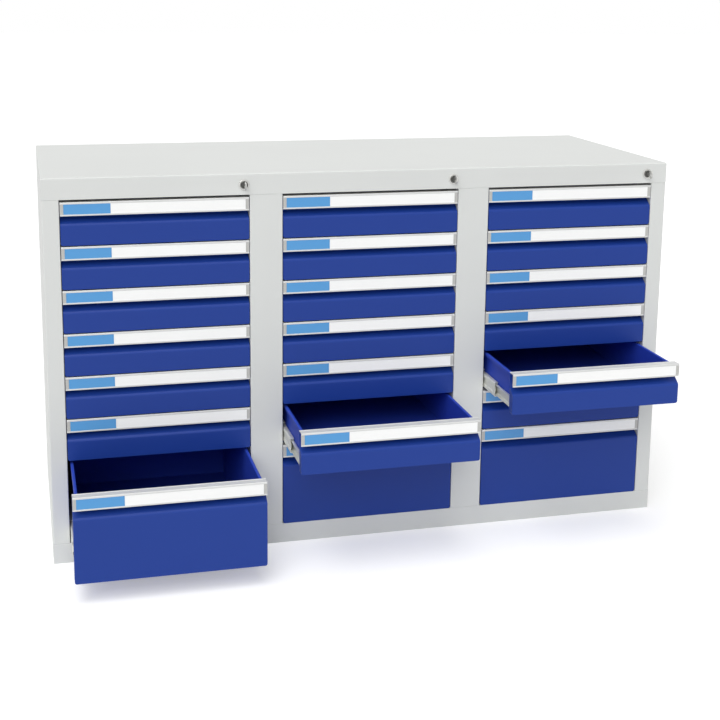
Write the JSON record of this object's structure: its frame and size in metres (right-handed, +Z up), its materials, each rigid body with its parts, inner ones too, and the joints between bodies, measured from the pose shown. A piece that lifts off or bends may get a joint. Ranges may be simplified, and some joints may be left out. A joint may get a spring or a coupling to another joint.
{
  "type": "multi-column drawer cabinet",
  "caption": "Low wide steel cabinet with columns of shallow blue drawers over a deep one, full-width label-strip handles, full-extension slides and a lock over each column.",
  "frame": {"origin": "centre of the housing's base, on the floor", "axes": "+X along the row of columns towards the viewer's right when facing the drawers, +Y from the drawer fronts to the back, +Z up"},
  "size_m": [1.5, 0.82, 0.9],
  "materials": {
    "grey_paint": "light grey powder coat, fine texture, satin",
    "blue_paint": "deep blue powder coat, satin",
    "zinc_steel": "bright zinc plate",
    "lock_chrome": "nickel-plated zinc casting",
    "aluminium_profile": "extruded, satin anodised",
    "label_white": "smooth card under a clear strip",
    "label_blue": "smooth card under a clear strip",
    "cap_grey": "moulded, fine grain"
  },
  "bodies": {
    "cabinet": {"top_panel": "grey_paint", "base_panel": "grey_paint", "back_panel": "grey_paint", "side_panel_left": "grey_paint", "side_panel_right": "grey_paint", "partition_left": "grey_paint", "partition_right": "grey_paint", "inner_walls": "grey_paint", "cabinet_rails": "zinc_steel", "lock_barrels": "lock_chrome", "lock_bar_guides": "zinc_steel", "screws": "zinc_steel"},
    "drawer_left_1": {"drawer_left_1": "blue_paint"},
    "slide_left_1": {"slide_left_1": "zinc_steel"},
    "drawer_left_2": {"drawer_left_2": "blue_paint"},
    "slide_left_2": {"slide_left_2": "zinc_steel"},
    "drawer_left_3": {"drawer_left_3": "blue_paint"},
    "slide_left_3": {"slide_left_3": "zinc_steel"},
    "drawer_left_4": {"drawer_left_4": "blue_paint"},
    "slide_left_4": {"slide_left_4": "zinc_steel"},
    "drawer_left_5": {"drawer_left_5": "blue_paint"},
    "slide_left_5": {"slide_left_5": "zinc_steel"},
    "drawer_left_6": {"drawer_left_6": "blue_paint"},
    "slide_left_6": {"slide_left_6": "zinc_steel"},
    "drawer_left_7": {"drawer_left_7": "blue_paint"},
    "slide_left_7": {"slide_left_7": "zinc_steel"},
    "lock_plug_left": {"lock_plug_left": "lock_chrome"},
    "lock_bar_left": {"lock_bar_left": "zinc_steel"},
    "drawer_middle_1": {"drawer_middle_1": "blue_paint"},
    "slide_middle_1": {"slide_middle_1": "zinc_steel"},
    "drawer_middle_2": {"drawer_middle_2": "blue_paint"},
    "slide_middle_2": {"slide_middle_2": "zinc_steel"},
    "drawer_middle_3": {"drawer_middle_3": "blue_paint"},
    "slide_middle_3": {"slide_middle_3": "zinc_steel"},
    "drawer_middle_4": {"drawer_middle_4": "blue_paint"},
    "slide_middle_4": {"slide_middle_4": "zinc_steel"},
    "drawer_middle_5": {"drawer_middle_5": "blue_paint"},
    "slide_middle_5": {"slide_middle_5": "zinc_steel"},
    "drawer_middle_6": {"drawer_middle_6": "blue_paint"},
    "slide_middle_6": {"slide_middle_6": "zinc_steel"},
    "drawer_middle_7": {"drawer_middle_7": "blue_paint"},
    "slide_middle_7": {"slide_middle_7": "zinc_steel"},
    "lock_plug_middle": {"lock_plug_middle": "lock_chrome"},
    "lock_bar_middle": {"lock_bar_middle": "zinc_steel"},
    "drawer_right_1": {"drawer_right_1": "blue_paint"},
    "slide_right_1": {"slide_right_1": "zinc_steel"},
    "drawer_right_2": {"drawer_right_2": "blue_paint"},
    "slide_right_2": {"slide_right_2": "zinc_steel"},
    "drawer_right_3": {"drawer_right_3": "blue_paint"},
    "slide_right_3": {"slide_right_3": "zinc_steel"},
    "drawer_right_4": {"drawer_right_4": "blue_paint"},
    "slide_right_4": {"slide_right_4": "zinc_steel"},
    "drawer_right_5": {"drawer_right_5": "blue_paint"},
    "slide_right_5": {"slide_right_5": "zinc_steel"},
    "drawer_right_6": {"drawer_right_6": "blue_paint"},
    "slide_right_6": {"slide_right_6": "zinc_steel"},
    "drawer_right_7": {"drawer_right_7": "blue_paint"},
    "slide_right_7": {"slide_right_7": "zinc_steel"},
    "lock_plug_right": {"lock_plug_right": "lock_chrome"},
    "lock_bar_right": {"lock_bar_right": "zinc_steel"}
  },
  "joints": [
    {"name": "drawer_left_1_pull", "type": "slide", "parent": "cabinet", "child": "drawer_left_1", "axis": [0, -1, 0], "range_m": [0, 0.5]},
    {"name": "slide_left_1_run", "type": "slide", "parent": "cabinet", "child": "slide_left_1", "axis": [0, -1, 0], "range_m": [0, 0.25]},
    {"name": "drawer_left_2_pull", "type": "slide", "parent": "cabinet", "child": "drawer_left_2", "axis": [0, -1, 0], "range_m": [0, 0.5]},
    {"name": "slide_left_2_run", "type": "slide", "parent": "cabinet", "child": "slide_left_2", "axis": [0, -1, 0], "range_m": [0, 0.25]},
    {"name": "drawer_left_3_pull", "type": "slide", "parent": "cabinet", "child": "drawer_left_3", "axis": [0, -1, 0], "range_m": [0, 0.5]},
    {"name": "slide_left_3_run", "type": "slide", "parent": "cabinet", "child": "slide_left_3", "axis": [0, -1, 0], "range_m": [0, 0.25]},
    {"name": "drawer_left_4_pull", "type": "slide", "parent": "cabinet", "child": "drawer_left_4", "axis": [0, -1, 0], "range_m": [0, 0.5]},
    {"name": "slide_left_4_run", "type": "slide", "parent": "cabinet", "child": "slide_left_4", "axis": [0, -1, 0], "range_m": [0, 0.25]},
    {"name": "drawer_left_5_pull", "type": "slide", "parent": "cabinet", "child": "drawer_left_5", "axis": [0, -1, 0], "range_m": [0, 0.5]},
    {"name": "slide_left_5_run", "type": "slide", "parent": "cabinet", "child": "slide_left_5", "axis": [0, -1, 0], "range_m": [0, 0.25]},
    {"name": "drawer_left_6_pull", "type": "slide", "parent": "cabinet", "child": "drawer_left_6", "axis": [0, -1, 0], "range_m": [0, 0.5]},
    {"name": "slide_left_6_run", "type": "slide", "parent": "cabinet", "child": "slide_left_6", "axis": [0, -1, 0], "range_m": [0, 0.25]},
    {"name": "drawer_left_7_pull", "type": "slide", "parent": "cabinet", "child": "drawer_left_7", "axis": [0, -1, 0], "range_m": [-0.22, 0.28]},
    {"name": "slide_left_7_run", "type": "slide", "parent": "cabinet", "child": "slide_left_7", "axis": [0, -1, 0], "range_m": [-0.11, 0.14]},
    {"name": "lock_left_turn", "type": "hinge", "parent": "cabinet", "child": "lock_plug_left", "pos_m": [-0.301, -0.3, 0.874], "axis": [0, 1, 0], "range_deg": [0, 90]},
    {"name": "lock_bar_left_drop", "type": "slide", "parent": "cabinet", "child": "lock_bar_left", "axis": [0, 0, -1], "range_m": [0, 0.0141]},
    {"name": "drawer_middle_1_pull", "type": "slide", "parent": "cabinet", "child": "drawer_middle_1", "axis": [0, -1, 0], "range_m": [0, 0.5]},
    {"name": "slide_middle_1_run", "type": "slide", "parent": "cabinet", "child": "slide_middle_1", "axis": [0, -1, 0], "range_m": [0, 0.25]},
    {"name": "drawer_middle_2_pull", "type": "slide", "parent": "cabinet", "child": "drawer_middle_2", "axis": [0, -1, 0], "range_m": [0, 0.5]},
    {"name": "slide_middle_2_run", "type": "slide", "parent": "cabinet", "child": "slide_middle_2", "axis": [0, -1, 0], "range_m": [0, 0.25]},
    {"name": "drawer_middle_3_pull", "type": "slide", "parent": "cabinet", "child": "drawer_middle_3", "axis": [0, -1, 0], "range_m": [0, 0.5]},
    {"name": "slide_middle_3_run", "type": "slide", "parent": "cabinet", "child": "slide_middle_3", "axis": [0, -1, 0], "range_m": [0, 0.25]},
    {"name": "drawer_middle_4_pull", "type": "slide", "parent": "cabinet", "child": "drawer_middle_4", "axis": [0, -1, 0], "range_m": [0, 0.5]},
    {"name": "slide_middle_4_run", "type": "slide", "parent": "cabinet", "child": "slide_middle_4", "axis": [0, -1, 0], "range_m": [0, 0.25]},
    {"name": "drawer_middle_5_pull", "type": "slide", "parent": "cabinet", "child": "drawer_middle_5", "axis": [0, -1, 0], "range_m": [0, 0.5]},
    {"name": "slide_middle_5_run", "type": "slide", "parent": "cabinet", "child": "slide_middle_5", "axis": [0, -1, 0], "range_m": [0, 0.25]},
    {"name": "drawer_middle_6_pull", "type": "slide", "parent": "cabinet", "child": "drawer_middle_6", "axis": [0, -1, 0], "range_m": [-0.205, 0.295]},
    {"name": "slide_middle_6_run", "type": "slide", "parent": "cabinet", "child": "slide_middle_6", "axis": [0, -1, 0], "range_m": [-0.1025, 0.1475]},
    {"name": "drawer_middle_7_pull", "type": "slide", "parent": "cabinet", "child": "drawer_middle_7", "axis": [0, -1, 0], "range_m": [0, 0.5]},
    {"name": "slide_middle_7_run", "type": "slide", "parent": "cabinet", "child": "slide_middle_7", "axis": [0, -1, 0], "range_m": [0, 0.25]},
    {"name": "lock_middle_turn", "type": "hinge", "parent": "cabinet", "child": "lock_plug_middle", "pos_m": [0.199, -0.3, 0.874], "axis": [0, 1, 0], "range_deg": [0, 90]},
    {"name": "lock_bar_middle_drop", "type": "slide", "parent": "cabinet", "child": "lock_bar_middle", "axis": [0, 0, -1], "range_m": [0, 0.0141]},
    {"name": "drawer_right_1_pull", "type": "slide", "parent": "cabinet", "child": "drawer_right_1", "axis": [0, -1, 0], "range_m": [0, 0.5]},
    {"name": "slide_right_1_run", "type": "slide", "parent": "cabinet", "child": "slide_right_1", "axis": [0, -1, 0], "range_m": [0, 0.25]},
    {"name": "drawer_right_2_pull", "type": "slide", "parent": "cabinet", "child": "drawer_right_2", "axis": [0, -1, 0], "range_m": [0, 0.5]},
    {"name": "slide_right_2_run", "type": "slide", "parent": "cabinet", "child": "slide_right_2", "axis": [0, -1, 0], "range_m": [0, 0.25]},
    {"name": "drawer_right_3_pull", "type": "slide", "parent": "cabinet", "child": "drawer_right_3", "axis": [0, -1, 0], "range_m": [0, 0.5]},
    {"name": "slide_right_3_run", "type": "slide", "parent": "cabinet", "child": "slide_right_3", "axis": [0, -1, 0], "range_m": [0, 0.25]},
    {"name": "drawer_right_4_pull", "type": "slide", "parent": "cabinet", "child": "drawer_right_4", "axis": [0, -1, 0], "range_m": [0, 0.5]},
    {"name": "slide_right_4_run", "type": "slide", "parent": "cabinet", "child": "slide_right_4", "axis": [0, -1, 0], "range_m": [0, 0.25]},
    {"name": "drawer_right_5_pull", "type": "slide", "parent": "cabinet", "child": "drawer_right_5", "axis": [0, -1, 0], "range_m": [-0.195, 0.305]},
    {"name": "slide_right_5_run", "type": "slide", "parent": "cabinet", "child": "slide_right_5", "axis": [0, -1, 0], "range_m": [-0.0975, 0.1525]},
    {"name": "drawer_right_6_pull", "type": "slide", "parent": "cabinet", "child": "drawer_right_6", "axis": [0, -1, 0], "range_m": [0, 0.5]},
    {"name": "slide_right_6_run", "type": "slide", "parent": "cabinet", "child": "slide_right_6", "axis": [0, -1, 0], "range_m": [0, 0.25]},
    {"name": "drawer_right_7_pull", "type": "slide", "parent": "cabinet", "child": "drawer_right_7", "axis": [0, -1, 0], "range_m": [0, 0.5]},
    {"name": "slide_right_7_run", "type": "slide", "parent": "cabinet", "child": "slide_right_7", "axis": [0, -1, 0], "range_m": [0, 0.25]},
    {"name": "lock_right_turn", "type": "hinge", "parent": "cabinet", "child": "lock_plug_right", "pos_m": [0.699, -0.3, 0.874], "axis": [0, 1, 0], "range_deg": [0, 90]},
    {"name": "lock_bar_right_drop", "type": "slide", "parent": "cabinet", "child": "lock_bar_right", "axis": [0, 0, -1], "range_m": [0, 0.0141]}
  ],
  "couplings": [
    {"joint": "slide_left_1_run", "follows": "drawer_left_1_pull", "ratio": 0.5},
    {"joint": "slide_left_2_run", "follows": "drawer_left_2_pull", "ratio": 0.5},
    {"joint": "slide_left_3_run", "follows": "drawer_left_3_pull", "ratio": 0.5},
    {"joint": "slide_left_4_run", "follows": "drawer_left_4_pull", "ratio": 0.5},
    {"joint": "slide_left_5_run", "follows": "drawer_left_5_pull", "ratio": 0.5},
    {"joint": "slide_left_6_run", "follows": "drawer_left_6_pull", "ratio": 0.5},
    {"joint": "slide_left_7_run", "follows": "drawer_left_7_pull", "ratio": 0.5},
    {"joint": "lock_left_turn", "follows": "lock_bar_left_drop", "rad_per_m": 111.07},
    {"joint": "slide_middle_1_run", "follows": "drawer_middle_1_pull", "ratio": 0.5},
    {"joint": "slide_middle_2_run", "follows": "drawer_middle_2_pull", "ratio": 0.5},
    {"joint": "slide_middle_3_run", "follows": "drawer_middle_3_pull", "ratio": 0.5},
    {"joint": "slide_middle_4_run", "follows": "drawer_middle_4_pull", "ratio": 0.5},
    {"joint": "slide_middle_5_run", "follows": "drawer_middle_5_pull", "ratio": 0.5},
    {"joint": "slide_middle_6_run", "follows": "drawer_middle_6_pull", "ratio": 0.5},
    {"joint": "slide_middle_7_run", "follows": "drawer_middle_7_pull", "ratio": 0.5},
    {"joint": "lock_middle_turn", "follows": "lock_bar_middle_drop", "rad_per_m": 111.07},
    {"joint": "slide_right_1_run", "follows": "drawer_right_1_pull", "ratio": 0.5},
    {"joint": "slide_right_2_run", "follows": "drawer_right_2_pull", "ratio": 0.5},
    {"joint": "slide_right_3_run", "follows": "drawer_right_3_pull", "ratio": 0.5},
    {"joint": "slide_right_4_run", "follows": "drawer_right_4_pull", "ratio": 0.5},
    {"joint": "slide_right_5_run", "follows": "drawer_right_5_pull", "ratio": 0.5},
    {"joint": "slide_right_6_run", "follows": "drawer_right_6_pull", "ratio": 0.5},
    {"joint": "slide_right_7_run", "follows": "drawer_right_7_pull", "ratio": 0.5},
    {"joint": "lock_right_turn", "follows": "lock_bar_right_drop", "rad_per_m": 111.07}
  ]
}
